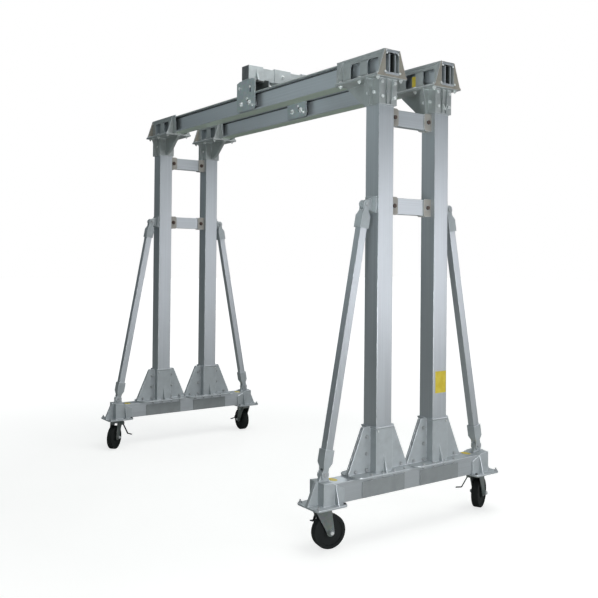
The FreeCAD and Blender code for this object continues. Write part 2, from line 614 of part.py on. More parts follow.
def caster_fork():
    inner = HUB_WIDTH / 2 + FORK_SIDE_GAP
    outer = inner + FORK_LEG
    half = CROWN_SIDE / 2
    crown = box((-half, half), (-outer, outer), (CROWN_LOW, CROWN_TOP))
    crown = rounded(crown, CROWN_CORNER, (0, 0, 1))
    leg = plate_y([(FORK_INSET - half, CROWN_TOP - FORK_INSET), (half - FORK_INSET, CROWN_TOP - FORK_INSET),
                   (TRAIL + FORK_BOSS_RADIUS, WHEEL_RADIUS), (TRAIL - FORK_BOSS_RADIUS, WHEEL_RADIUS)],
                  inner, outer)
    boss = rod(FORK_BOSS_RADIUS, (TRAIL, inner, WHEEL_RADIUS), (TRAIL, outer, WHEEL_RADIUS))
    axle = rod(AXLE_RADIUS, (TRAIL, -outer, WHEEL_RADIUS), (TRAIL, outer, WHEEL_RADIUS))
    nut = rod(AXLE_NUT_RADIUS, (TRAIL, outer, WHEEL_RADIUS), (TRAIL, outer + AXLE_NUT, WHEEL_RADIUS))
    out, height = LEVER_PIVOT
    ear_at = LEVER_WIDTH / 2 + EAR_GAP
    ear_top = CROWN_TOP - FORK_INSET / 2
    ear = prism([(ear_at, outer - FORK_INSET, ear_top), (ear_at, out + EAR_STANDS, ear_top),
                 (ear_at, out + LEVER_EYE_RADIUS, height), (ear_at, out, height - LEVER_EYE_RADIUS),
                 (ear_at, outer - FORK_INSET, height - LEVER_EYE_RADIUS)], (EAR, 0, 0))
    lever_pin = rod(LEVER_PIN_RADIUS, (-ear_at - EAR, out, height), (ear_at + EAR, out, height))
    hole = rod(KINGPIN_RADIUS + PIN_FIT, (0, 0, CROWN_LOW), (0, 0, CROWN_TOP))
    pieces = both_ways(leg, (0, 1, 0)) + both_ways(boss, (0, 1, 0)) + both_ways(nut, (0, 1, 0))
    pieces += both_ways(ear, (1, 0, 0)) + [axle, lever_pin]
    return joined(crown.cut(hole), *pieces)


def caster_wheel():
    centre = Vector(TRAIL, 0, WHEEL_RADIUS)
    half = WHEEL_WIDTH / 2
    tyre = Part.makeCylinder(WHEEL_RADIUS, WHEEL_WIDTH, centre - Vector(0, half, 0), Vector(0, 1, 0))
    tyre = tyre.makeFillet(TREAD_ROUND, [e for e in tyre.Edges if isinstance(e.Curve, Part.Circle)])
    hub = Part.makeCylinder(HUB_RADIUS, HUB_WIDTH, centre - Vector(0, HUB_WIDTH / 2, 0), Vector(0, 1, 0))
    bore = Part.makeCylinder(AXLE_RADIUS + PIN_FIT, HUB_WIDTH, centre - Vector(0, HUB_WIDTH / 2, 0),
                             Vector(0, 1, 0))
    floor = centre + Vector(0, half - DISH_DEPTH, 0)
    ring = Part.makeCylinder(DISH_RADII[1], DISH_DEPTH, floor, Vector(0, 1, 0))
    ring = ring.cut(Part.makeCylinder(DISH_RADII[0], DISH_DEPTH, floor, Vector(0, 1, 0)))
    dishes = [ring, ring.mirror(centre, Vector(0, 1, 0))]
    return joined(tyre, hub).cut([bore] + dishes)


def brake_lever():
    """A bent strap with an eye at its pivot and a pedal at its free end."""
    half = LEVER_WIDTH / 2
    pivot = Vector(0, *LEVER_PIVOT)
    eye = Part.makeCylinder(LEVER_EYE_RADIUS, LEVER_WIDTH, pivot - Vector(half, 0, 0), Vector(1, 0, 0))
    straps = []
    for start, end in ((LEVER_PIVOT, LEVER_BEND), (LEVER_BEND, LEVER_TIP)):
        run = Vector(0, end[0] - start[0], end[1] - start[1])
        across = Vector(0, -run.z, run.y).normalize() * (LEVER / 2)
        low, high = Vector(-half, *start), Vector(-half, *end)
        outline = [low - across, high - across, high + across, low + across]
        straps.append(prism([tuple(p) for p in outline], (LEVER_WIDTH, 0, 0)))
    knuckle = rod(LEVER / 2, (-half, *LEVER_BEND), (half, *LEVER_BEND))
    hole = rod(LEVER_PIN_RADIUS + PIN_FIT, (-half, *LEVER_PIVOT), (half, *LEVER_PIVOT))
    return joined(eye, knuckle, *straps).cut(hole)


def at_caster(shape, side, row, turned=True):
    """A caster piece set on its swivel axis and turned the way that caster trails."""
    shape = shape.copy()
    if turned:
        shape.rotate(Vector(0, 0, 0), Vector(0, 0, 1), HEADINGS[f"{side}_{row}"])
    shape.translate(Vector(SIDES[side] * POST_SPAN / 2, ROWS[row] * AXLE_BASE / 2, 0))
    return shape


# ---- trolley ----
def trolley_hanger():
    """Two plates and a saddle round one beam, with the roller axles, drawn over the beam's middle."""
    half = HANGER_LENGTH / 2
    near = BEAM_WIDTH / 2 + HANGER_CLEAR
    low = BEAM_UNDERSIDE + HANGER_LOW
    along, down = HANGER_SHOULDER
    plate = plate_y([(-half, low), (half, low), (half, HANGER_ROOF - down), (half - along, HANGER_ROOF),
                     (along - half, HANGER_ROOF), (-half, HANGER_ROOF - down)], near, near + HANGER_PLATE)
    feet = [e for e in plate.Edges if abs(e.CenterOfMass.z - low) < 1e-6 and e.Length < 2 * HANGER_PLATE]
    plate = plate.makeFillet(HANGER_CORNER, feet)
    saddle_half = CROSSBEAM_WIDTH / 2 + SADDLE_STANDS
    saddle = box((-saddle_half, saddle_half), (-near, near), (HANGER_ROOF - SADDLE, HANGER_ROOF))
    roller_out = WEB_SLOT / 2 + WEB + ROLLER_FROM_WEB + ROLLER_WIDTH
    axles = []
    for x in (-ROLLER_SPACING / 2, ROLLER_SPACING / 2):
        plate_end = (x, near, ROLLER_HEIGHT)
        axle = rod(ROLLER_AXLE_RADIUS, (x, roller_out - ROLLER_WIDTH, ROLLER_HEIGHT), plate_end)
        collar = rod(ROLLER_COLLAR_RADIUS, (x, roller_out + SEAT, ROLLER_HEIGHT), plate_end)
        axles += both_ways(axle, (0, 1, 0)) + both_ways(collar, (0, 1, 0))
    shape = joined(saddle, *both_ways(plate, (0, 1, 0)), *axles)
    shape.translate(Vector(TROLLEY_AT, 0, 0))
    return shape


def rollers(end):
    """The four rollers that share one axis, two on each beam."""
    inner = WEB_SLOT / 2 + WEB + ROLLER_FROM_WEB
    x = TROLLEY_AT + end * ROLLER_SPACING / 2
    one = rod(ROLLER_RADIUS, (x, inner, ROLLER_HEIGHT), (x, inner + ROLLER_WIDTH, ROLLER_HEIGHT))
    one = one.makeFillet(ROLLER_EDGE, [e for e in one.Edges if isinstance(e.Curve, Part.Circle)])
    one = one.cut(rod(ROLLER_AXLE_RADIUS + PIN_FIT, (x, inner, ROLLER_HEIGHT),
                      (x, inner + ROLLER_WIDTH, ROLLER_HEIGHT)))
    pieces = []
    for row in ROWS.values():
        for roller in both_ways(one, (0, 1, 0)):
            roller = roller.copy()
            roller.translate(Vector(0, row * BEAM_GAUGE / 2, 0))
            pieces.append(roller)
    return pieces


def crossbeam():
    """An upturned channel with thicker end and centre blocks, and a plate for the hoist's eye bolt."""
    half = CROSSBEAM_WIDTH / 2
    end = CROSSBEAM_LENGTH / 2
    top = HANGER_ROOF + CROSSBEAM_HEIGHT
    slim = half - CROSSBEAM_INSET
    blocks = [box((-slim, slim), (-end, end), (HANGER_ROOF, top - CROSSBEAM_STEP)),
              box((-half, half), (-CENTRE_BLOCK_HALF, CENTRE_BLOCK_HALF), (HANGER_ROOF, top))]
    blocks += both_ways(box((-half, half), (end - END_BLOCK, end), (HANGER_ROOF, top)), (0, 1, 0))
    hollow_half = slim - CROSSBEAM_WALL
    hollow = box((-hollow_half, hollow_half), (-end + CROSSBEAM_WALL, end - CROSSBEAM_WALL),
                 (HANGER_ROOF, top - CROSSBEAM_STEP - CROSSBEAM_WALL))
    plate = box((-hollow_half, hollow_half), (-CENTRE_BLOCK_HALF, CENTRE_BLOCK_HALF),
                (HANGER_ROOF, HANGER_ROOF + HOIST_PLATE))
    seat = HANGER_ROOF - HOIST_BOSS
    boss = rod(HOIST_BOSS_RADIUS, (0, 0, seat), (0, 0, HANGER_ROOF))
    bore = rod(HOIST_BORE_RADIUS, (0, 0, seat), (0, 0, HANGER_ROOF + HOIST_PLATE))
    buttress_at = end - BUTTRESS_FROM_END
    buttress = plate_y([(half, HANGER_ROOF), (half + BUTTRESS_STANDS, HANGER_ROOF),
                        (half, top - BUTTRESS_BELOW_TOP)],
                       buttress_at - BUTTRESS / 2, buttress_at + BUTTRESS / 2)
    buttresses = [b for pair in both_ways(buttress, (1, 0, 0)) for b in both_ways(pair, (0, 1, 0))]
    body = joined(*blocks).cut(hollow)
    shape = joined(body, plate, boss, *buttresses).cut(bore)
    shape.translate(Vector(TROLLEY_AT, 0, 0))
    return shape


def moved_y(shape, y):
    shape = shape.copy()
    shape.translate(Vector(0, y, 0))
    return shape


# ---- the nodes ----
os.makedirs("parts", exist_ok=True)

for row, sign in ROWS.items():
    write(f"main_beam_{row}", [moved_y(main_beam(), sign * BEAM_GAUGE / 2)])
    write(f"trolley_hanger_{row}", [moved_y(trolley_hanger(), sign * BEAM_GAUGE / 2)])
write("trolley_crossbeam", [crossbeam()])
write("trolley_rollers_left", rollers(-1))
write("trolley_rollers_right", rollers(1))

for side in SIDES:
    write(f"foot_beam_{side}", [foot_beam(side)])
    write(f"foot_side_plates_{side}", [at_post(p, side, row) for row in ROWS for p in side_plates()])
    write(f"tie_cleats_{side}", cleats(side))
    for level in TIE_LEVELS:
        write(f"tie_{side}_{level}", [tie(side, level)])
    write(f"brace_ends_{side}", [lean(piece, side, row) for row in ROWS
                                 for piece in (brace_end(), upper_brace_end())])
    write(f"brace_lugs_{side}", [at_post(post_lug(), side, row) for row in ROWS])
    write(f"caster_mounts_{side}", [at_caster(caster_mount(), side, row, turned=False) for row in ROWS])
    for row in ROWS:
        corner = f"{side}_{row}"
        write(f"post_{corner}", [at_post(post(), side, row)])
        write(f"head_bracket_{corner}", [at_post(head_bracket(), side, row)])
        halves = both_ways(base_half(), (1, 0, 0))
        write(f"base_bracket_{corner}", [at_post(half, side, row) for half in halves])
        write(f"brace_{corner}", [lean(brace_tube(), side, row)])
        write(f"end_bracket_{corner}", [at_post(end_bracket(), side, row)])
        write(f"caster_fork_{corner}", [at_caster(caster_fork(), side, row)])
        write(f"caster_wheel_{corner}", [at_caster(caster_wheel(), side, row)])
        write(f"brake_lever_{corner}", [at_caster(brake_lever(), side, row)])
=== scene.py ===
import json
import math
import random

import bpy
from mathutils import Matrix, Vector

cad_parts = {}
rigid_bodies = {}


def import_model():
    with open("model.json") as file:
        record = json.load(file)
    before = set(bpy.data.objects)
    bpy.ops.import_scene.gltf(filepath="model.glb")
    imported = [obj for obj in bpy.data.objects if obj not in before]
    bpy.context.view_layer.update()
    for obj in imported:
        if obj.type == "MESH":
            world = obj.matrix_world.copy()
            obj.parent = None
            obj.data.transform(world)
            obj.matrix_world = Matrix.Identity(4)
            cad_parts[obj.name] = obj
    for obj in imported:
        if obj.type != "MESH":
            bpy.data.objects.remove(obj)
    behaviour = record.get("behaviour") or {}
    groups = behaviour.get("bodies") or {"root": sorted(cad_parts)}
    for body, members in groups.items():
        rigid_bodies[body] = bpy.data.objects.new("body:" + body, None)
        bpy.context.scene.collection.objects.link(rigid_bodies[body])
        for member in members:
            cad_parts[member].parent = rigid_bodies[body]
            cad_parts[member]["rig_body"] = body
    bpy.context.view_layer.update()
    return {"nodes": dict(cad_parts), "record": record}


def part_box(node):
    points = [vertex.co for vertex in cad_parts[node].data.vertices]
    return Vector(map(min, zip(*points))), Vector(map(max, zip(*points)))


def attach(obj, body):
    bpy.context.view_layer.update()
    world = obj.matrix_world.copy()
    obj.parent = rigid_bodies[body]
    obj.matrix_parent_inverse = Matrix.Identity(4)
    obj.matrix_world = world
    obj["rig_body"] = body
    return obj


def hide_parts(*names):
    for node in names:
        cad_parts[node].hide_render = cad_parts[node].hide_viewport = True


# A mobile aluminium gantry crane.  Metres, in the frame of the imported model: X along the beams,
# Y across them, Z up, and the origin on the ground midway between the four posts.

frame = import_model()
nodes = frame["nodes"]
bpy.ops.object.select_all(action="DESELECT")

SIDES = {"right": 1, "left": -1}
ROWS = {"front": -1, "rear": 1}
CORNERS = [(side, row) for side in SIDES for row in ROWS]
MM = 0.001
UP, DOWN = Vector((0, 0, 1)), Vector((0, 0, -1))

# a brace's pins, across from the middle and up from the ground, in millimetres
PIN_TOP, PIN_FOOT = (350, 1997), (645, 425)
BRACE_LEAN = math.atan2(PIN_FOOT[0] - PIN_TOP[0], PIN_TOP[1] - PIN_FOOT[1])


# ---------------------------------------------------------------- finishes
class Finish:
    """A material with a principled shader, and short calls that add nodes to it."""

    def __init__(self, name, metallic, roughness):
        self.material = bpy.data.materials.new(name)
        self.material.use_nodes = True
        self.tree = self.material.node_tree
        self.shader = self.tree.nodes["Principled BSDF"]
        self.shader.inputs["Metallic"].default_value = metallic
        self.shader.inputs["Roughness"].default_value = roughness
        self.place = self.node("ShaderNodeTexCoord").outputs["Object"]

    def node(self, kind):
        return self.tree.nodes.new(kind)

    def link(self, source, target):
        self.tree.links.new(source, target)

    def spread(self, scale, turn=(0, 0, 0)):
        """Object coordinates turned and stretched."""
        mapping = self.node("ShaderNodeMapping")
        mapping.inputs["Rotation"].default_value = turn
        mapping.inputs["Scale"].default_value = scale
        self.link(self.place, mapping.inputs["Vector"])
        return mapping.outputs["Vector"]

    def noise(self, scale, detail=3.0, rough=0.55, where=None):
        texture = self.node("ShaderNodeTexNoise")
        texture.inputs["Scale"].default_value = scale
        texture.inputs["Detail"].default_value = detail
        texture.inputs["Roughness"].default_value = rough
        self.link(where or self.place, texture.inputs["Vector"])
        return texture.outputs["Fac"]

    def cells(self, scale):
        """Random colours in cells that meet edge to edge."""
        texture = self.node("ShaderNodeTexVoronoi")
        texture.inputs["Scale"].default_value = scale
        self.link(self.place, texture.inputs["Vector"])
        return texture.outputs["Color"]

    def level(self, middle, half):
        """1 within a band of heights and 0 outside it."""
        split = self.node("ShaderNodeSeparateXYZ")
        self.link(self.place, split.inputs[0])
        band = self.node("ShaderNodeMath")
        band.operation = "COMPARE"
        self.link(split.outputs["Z"], band.inputs[0])
        band.inputs[1].default_value = middle
        band.inputs[2].default_value = half
        return band.outputs["Value"]

    def remap(self, source, low, high, new_low, new_high):
        """A value's range low to high stretched to a new one, and clamped there."""
        remap = self.node("ShaderNodeMapRange")
        for name, value in (("From Min", low), ("From Max", high), ("To Min", new_low), ("To Max", new_high)):
            remap.inputs[name].default_value = value
        self.link(source, remap.inputs["Value"])
        return remap.outputs["Result"]

    def blend(self, amount, first, second, how="MIX"):
        """Two colours, or a colour and a socket, mixed by an amount or a socket."""
        mix = self.node("ShaderNodeMix")
        mix.data_type = "RGBA"
        mix.blend_type = how
        for socket, value in ((mix.inputs[0], amount), (mix.inputs[6], first), (mix.inputs[7], second)):
            if isinstance(value, (int, float)):
                socket.default_value = value
            elif isinstance(value, tuple):
                socket.default_value = (*value, 1.0)
            else:
                self.link(value, socket)
        return mix.outputs[2]

    def add(self, first, second):
        total = self.node("ShaderNodeMath")
        total.operation = "ADD"
        self.link(first, total.inputs[0])
        self.link(second, total.inputs[1])
        return total.outputs["Value"]

    def colour(self, source):
        self.link(source, self.shader.inputs["Base Color"])

    def roughness(self, source):
        self.link(source, self.shader.inputs["Roughness"])

    def bump(self, source, strength, distance):
        bump = self.node("ShaderNodeBump")
        bump.inputs["Strength"].default_value = strength
        bump.inputs["Distance"].default_value = distance
        self.link(source, bump.inputs["Height"])
        self.link(bump.outputs["Normal"], self.shader.inputs["Normal"])


def darker(colour, share):
    return tuple(c * share for c in colour)


def shades(colour, down, up):
    """A darker and a paler shade of a colour."""
    return darker(colour, down), tuple(min(1.0, c * up) for c in colour)


def extruded(name, along, colour, turn=(0, 0, 0), metallic=0.72, painted_shadow_band=None):
    """Satin extruded aluminium, with drawing lines along one axis and faint handling marks.

    The painted shadow band is a level band of painted shade: its middle height and half its height."""
    finish = Finish(name, metallic, 0.4)
    dark, light = shades(colour, 0.93, 1.06)
    lines = finish.noise(1.0, 5.0, 0.65, finish.spread([0.7 if a == along else 130.0 for a in "XYZ"], turn))
    fine = finish.noise(1.0, 2.0, 0.5, finish.spread([5.0 if a == along else 900.0 for a in "XYZ"], turn))
    patches = finish.noise(1.6, 3.0)
    marks = finish.noise(28.0, 6.0, 0.75)
    tint = finish.blend(finish.remap(lines, 0.35, 0.65, 0, 1), dark, light)
    tint = finish.blend(finish.remap(patches, 0.35, 0.65, 0, 0.35), tint, darker(colour, 0.86))
    tint = finish.blend(finish.remap(marks, 0.66, 0.74, 0, 0.4), tint, darker(colour, 0.78))
    if painted_shadow_band:
        # painted shadow: the level band under the lip is darkened to a fifth of the colour
        tint = finish.blend(finish.level(*painted_shadow_band), tint, darker(colour, 0.2))
    finish.colour(tint)
    finish.roughness(finish.add(finish.remap(lines, 0.3, 0.7, 0.34, 0.46),
                                finish.remap(marks, 0.6, 0.75, 0.0, 0.10)))
    finish.bump(fine, 0.12, 0.0002)
    return finish.material


def cast(name, colour, metallic=0.55, rough=0.56, grain=0.35):
    """Sand-cast aluminium: an even fine grain over soft blotches."""
    finish = Finish(name, metallic, rough)
    dark, light = shades(colour, 0.9, 1.08)
    sand = finish.noise(420.0, 3.0, 0.6)
    blotches = finish.noise(17.0, 5.0, 0.6)
    patches = finish.noise(3.2, 2.0)
    tint = finish.blend(finish.remap(blotches, 0.34, 0.66, 0, 1), dark, light)
    tint = finish.blend(finish.remap(sand, 0.58, 0.72, 0, 0.45), tint, darker(colour, 0.74))
    tint = finish.blend(finish.remap(patches, 0.4, 0.68, 0, 0.4), tint, darker(colour, 0.86))
    finish.colour(tint)
    finish.roughness(finish.remap(blotches, 0.3, 0.7, rough - 0.06, rough + 0.08))
    finish.bump(finish.add(sand, blotches), grain, 0.0006)
    return finish.material


def plated(name, colour, rough=0.34, metallic=0.9):
    """Zinc-plated steel with a faint crystal spangle."""
    finish = Finish(name, metallic, rough)
    dark, light = shades(colour, 0.86, 1.08)
    spangle = finish.cells(75.0)
    smear = finish.noise(12.0, 4.0)
    tint = finish.blend(finish.remap(smear, 0.35, 0.65, 0, 1), dark, light)
    tint = finish.blend(0.07, tint, spangle, "OVERLAY")
    finish.colour(tint)
    finish.roughness(finish.remap(smear, 0.3, 0.7, rough - 0.06, rough + 0.12))
    finish.bump(finish.noise(260.0, 2.0), 0.08, 0.0003)
    return finish.material


def worn_and_highlit_edge(name, colour):
    """The burnished edge of a casting or tube, rubbed paler and smoother; the paleness is also a painted
    highlight along the edge.
    """
    finish = Finish(name, 0.8, 0.3)
    dark, light = shades(colour, 0.92, 1.12)
    rubbed = finish.noise(45.0, 4.0, 0.7)
    finish.colour(finish.blend(finish.remap(rubbed, 0.38, 0.62, 0, 1), dark, light))
    finish.roughness(finish.remap(rubbed, 0.3, 0.7, 0.26, 0.42))
    return finish.material


def rubber():
    """Solid black rubber, dusty and a little scuffed."""
    finish = Finish("solid_black_rubber", 0.0, 0.6)
    finish.shader.inputs["Specular IOR Level"].default_value = 0.35
    dust = finish.noise(34.0, 5.0, 0.65)
    scuffs = finish.noise(160.0, 4.0, 0.7)
    tint = finish.blend(finish.remap(dust, 0.45, 0.75, 0, 0.6), (0.006, 0.009, 0.009), (0.022, 0.024, 0.022))
    finish.colour(finish.blend(finish.remap(scuffs, 0.6, 0.72, 0, 0.5), tint, (0.034, 0.035, 0.032)))
    finish.roughness(finish.remap(dust, 0.3, 0.7, 0.5, 0.75))
    finish.bump(scuffs, 0.25, 0.0004)
    return finish.material


def lacquer(name, colour, rough=0.4):
    """Black lacquered steel, chipped to grey in a few small spots."""
    finish = Finish(name, 0.1, rough)
    chips = finish.noise(95.0, 5.0, 0.75)
    smear = finish.noise(20.0, 3.0)
    tint = finish.blend(finish.remap(smear, 0.35, 0.65, 0, 1), *shades(colour, 0.8, 1.25))
    finish.colour(finish.blend(finish.remap(chips, 0.70, 0.74, 0, 0.8), tint, (0.26, 0.25, 0.24)))
    finish.roughness(finish.remap(smear, 0.3, 0.7, rough - 0.08, rough + 0.14))
    finish.bump(smear, 0.06, 0.0004)
    return finish.material


def printed_label():
    """A bare yellow vinyl label, slightly faded and scuffed."""
    finish = Finish("yellow_vinyl", 0.0, 0.45)
    fade = finish.noise(22.0, 3.0)
    scuff = finish.noise(300.0, 4.0, 0.7)
    tint = finish.blend(finish.remap(fade, 0.35, 0.65, 0, 1), (0.72, 0.55, 0.03), (0.82, 0.66, 0.07))
    finish.colour(finish.blend(finish.remap(scuff, 0.6, 0.72, 0, 0.35), tint, (0.50, 0.42, 0.10)))
    finish.bump(fade, 0.04, 0.0003)
    return finish.material


ALUMINIUM = (0.60, 0.635, 0.66)
LIP_SHADOW_BAND = (2.899, 0.006)      # a band of painted shadow under the beams' lip
FINISHES = {
    "beam": extruded("drawn_aluminium_x", "X", ALUMINIUM, painted_shadow_band=LIP_SHADOW_BAND),
    "foot": extruded("drawn_aluminium_y", "Y", ALUMINIUM),
    "post": extruded("drawn_aluminium_z", "Z", ALUMINIUM),
    "brace_front": extruded("drawn_aluminium_brace_front", "Z", ALUMINIUM, (BRACE_LEAN, 0, 0)),
    "brace_rear": extruded("drawn_aluminium_brace_rear", "Z", ALUMINIUM, (-BRACE_LEAN, 0, 0)),
    # painted light: the low cast parts and the head brackets take two copies of one cast aluminium, each
    # tuned to how the light falls at its height
    "casting": cast("sand_cast_aluminium", (0.50, 0.54, 0.555), 0.24),
    "head_casting": cast("head_height_cast_aluminium_painted_light", (0.53, 0.56, 0.55), 0.66, 0.46),
    # painted light: a paler copy of cast aluminium for the crossbeam, standing in for light that falls on it
    "bar_casting": cast("pale_cast_aluminium_painted_light", (0.58, 0.62, 0.62), 0.4),
    # painted highlight: a paler, less metallic copy of the beam's aluminium for the top flange's edge, where
    # the light catches it
    "lip": extruded("painted_highlight_flange_edge", "X", (0.62, 0.67, 0.645), metallic=0.6),
    # painted reflection: an olive-tinted copy of the beam's aluminium for the faces that look down, standing
    # in for the surroundings mirrored from below
    "underside": extruded("olive_underside_painted_reflection", "X", (0.68, 0.775, 0.66)),
    "cleat": cast("browned_cleat", (0.47, 0.45, 0.41), 0.4),
    "head_end": cast("browned_cast_end", (0.40, 0.375, 0.32), 0.3, 0.55),
    "grey_cap": lacquer("dark_grey_cap", (0.12, 0.125, 0.13), 0.5),
    # painted shade: a near-black copy of cast aluminium for the faces inside the beams' hollow and inside the
    # hangers, where shade falls
    "inside_painted_shade": cast("unlit_inside_plate_painted_shade", (0.085, 0.095, 0.09), 0.3, 0.6, 0.15),
    "hanger": plated("plated_hanger_plate", (0.50, 0.56, 0.56), 0.42, 0.65),
    "side_plate": cast("dull_side_plate", (0.36, 0.385, 0.39), 0.4, 0.6, 0.15),
    "zinc": plated("zinc_pressing", (0.25, 0.28, 0.27), 0.38, 0.75),
    "bright": plated("bright_zinc", (0.88, 0.90, 0.89), 0.30, 0.25),
    "roller": plated("turned_roller_steel", (0.30, 0.31, 0.31), 0.36, 0.9),
    # the rounded edges are paler: partly rubbed wear, partly a painted highlight
    "edge": worn_and_highlit_edge("rubbed_aluminium_edge_painted_highlight", (0.66, 0.69, 0.71)),
    "steel_edge": worn_and_highlit_edge("rubbed_steel_edge", (0.42, 0.43, 0.43)),
    "rubber": rubber(),
    "black": lacquer("black_lacquer", (0.014, 0.015, 0.016)),
    "dull_bolt": cast("dull_bolt_steel", (0.47, 0.49, 0.50), 0.35, 0.48, 0.1),
    "dark_bolt": lacquer("dark_bolt_steel", (0.05, 0.055, 0.055), 0.42),
    "brown_bolt": lacquer("browned_bolt_steel", (0.11, 0.075, 0.06), 0.45),
    "shadow": lacquer("unlit_slot", (0.006, 0.007, 0.008), 0.7),
    "label": printed_label(),
}


# ---------------------------------------------------------------- dressed copies of the CAD nodes
SAME_POINT = 0.00002            # corners nearer than this become one
SAME_LINE = 0.0004              # how near an edge has to lie to the line that is rounded
FLAT_ANGLE = math.radians(0.6)
SHARP_ANGLE = math.radians(38)
SMOOTH_ANGLE = math.radians(32)

HEAD_SHOULDER = (0.061, 0.0075)     # a head bracket's top edges: how far across, and their rounding
HEAD_END_FACE = 1.596           # the end plate's outer face lies further out than this
HANGER_CHEEK = 0.0572           # a hanger's inner faces lie nearer to its middle than this
BEAM_ROUNDING = 0.0035
BEAM_TOP_EDGES = 2.9            # the only long edges above this height are the top flange's
BEAM_LIP = (2.9035, 0.049)      # the top flange's edge: above this height, and further across
BEAM_UNDERSIDE = 2.777          # faces that look down below this height are the underside
BEAM_CORE = (2.78, 2.912)       # heights between which the room between the webs shows
BEAM_CORE_HALF = 0.0182

# flat faces with steps or holes in them, which stay in small triangles
STEPPED = ("base_bracket", "end_bracket", "head_bracket", "caster_fork")


def only(piece):
    bpy.ops.object.select_all(action="DESELECT")
    piece.select_set(True)
    bpy.context.view_layer.objects.active = piece


def apply_modifiers(piece):
    only(piece)
    for modifier in list(piece.modifiers):
        bpy.ops.object.modifier_apply(modifier=modifier.name)


def second_finish(piece, finish, belongs):
    """Gives another finish to the faces whose middle and normal belong to it."""
    piece.data.materials.append(FINISHES[finish])
    last = len(piece.data.materials) - 1
    for polygon in piece.data.polygons:
        if belongs(polygon.center, polygon.normal):
            polygon.material_index = last


def shoulder(piece, middle, across, lowest, highest, width):
    """Rounds the long edges along X at a distance across from a piece's middle, between two heights."""
    for edge in piece.data.edges:
        first, second = (piece.data.vertices[v].co for v in edge.vertices)
        edge.select = abs(first.x - second.x) > 0.02 and all(
            abs(abs(point.y - middle) - across) < SAME_LINE and lowest < point.z < highest
            for point in (first, second))
    bpy.ops.object.mode_set(mode="EDIT")
    bpy.ops.mesh.select_mode(type="EDGE")
    bpy.ops.mesh.bevel(offset=width, segments=4, affect="EDGES", clamp_overlap=True)
    bpy.ops.object.mode_set(mode="OBJECT")


def dressed(node, finish, edge, width, slot):
    """A copy of a CAD node with its loose triangles merged and its sharp edges softly rounded."""
    source = nodes[node]
    piece = source.copy()
    piece.data = source.data.copy()
    piece.name = node + ".dressed"
    piece.parent = None
    for key in list(piece.keys()):
        del piece[key]
    bpy.context.scene.collection.objects.link(piece)
    piece.matrix_world = Matrix.Identity(4)
    only(piece)
    piece.data.materials.clear()
    for material in (FINISHES[finish], FINISHES[edge]):
        piece.data.materials.append(material)
    for polygon in piece.data.polygons:
        polygon.material_index = 0
    bpy.ops.object.mode_set(mode="EDIT")
    bpy.ops.mesh.select_all(action="SELECT")
    bpy.ops.mesh.remove_doubles(threshold=SAME_POINT)
    if not node.startswith(STEPPED):
        bpy.ops.mesh.dissolve_limited(angle_limit=FLAT_ANGLE)
    bpy.ops.mesh.select_all(action="DESELECT")
    bpy.ops.object.mode_set(mode="OBJECT")
    low, high = (Vector(corner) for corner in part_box(node))
    middle = (low.y + high.y) / 2
    if node.startswith("head_bracket"):
        across, rounding = HEAD_SHOULDER
        shoulder(piece, middle, across, high.z - SAME_LINE, high.z + SAME_LINE, rounding)
        second_finish(piece, "head_end", lambda place, facing: abs(facing.x) > 0.9
                      and abs(place.x) > HEAD_END_FACE)
    if node.startswith("main_beam"):
        lip_height, lip_across = BEAM_LIP
        shoulder(piece, middle, (high.y - low.y) / 2, BEAM_TOP_EDGES, math.inf, BEAM_ROUNDING)
        # painted highlight on the top flange's edge
        second_finish(piece, "lip", lambda place, facing: place.z > lip_height
                      and abs(place.y - middle) > lip_across)
        # painted reflection on the beam's downward faces
        second_finish(piece, "underside", lambda place, facing: facing.z < -0.9
                      and place.z < BEAM_UNDERSIDE)
        # painted shade: the faces inside the hollow between the beam's webs
        second_finish(piece, "inside_painted_shade", lambda place, facing: abs(place.y - middle) < BEAM_CORE_HALF
                      and BEAM_CORE[0] < place.z < BEAM_CORE[1] and abs(facing.y) + abs(facing.z) > 0.5)
    # painted shade: the hanger's inner faces
    if node.startswith("trolley_hanger"):
        second_finish(piece, "inside_painted_shade", lambda place, facing: abs(place.y - middle) < HANGER_CHEEK)
    if width:
        bevel = piece.modifiers.new("rounded", "BEVEL")
        bevel.limit_method = "ANGLE"
        bevel.angle_limit = SHARP_ANGLE
        bevel.width = width
        bevel.segments = 2
        bevel.use_clamp_overlap = False
        # the rounded faces take the edge finish: rubbed wear and a painted highlight
        bevel.material = 1
        apply_modifiers(piece)
    only(piece)
    bpy.ops.object.shade_smooth_by_angle(angle=SMOOTH_ANGLE)
    flat = piece.modifiers.new("flat_faces", "WEIGHTED_NORMAL")
    flat.keep_sharp = True
    apply_modifiers(piece)
    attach(piece, source["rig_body"])
    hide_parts(node)


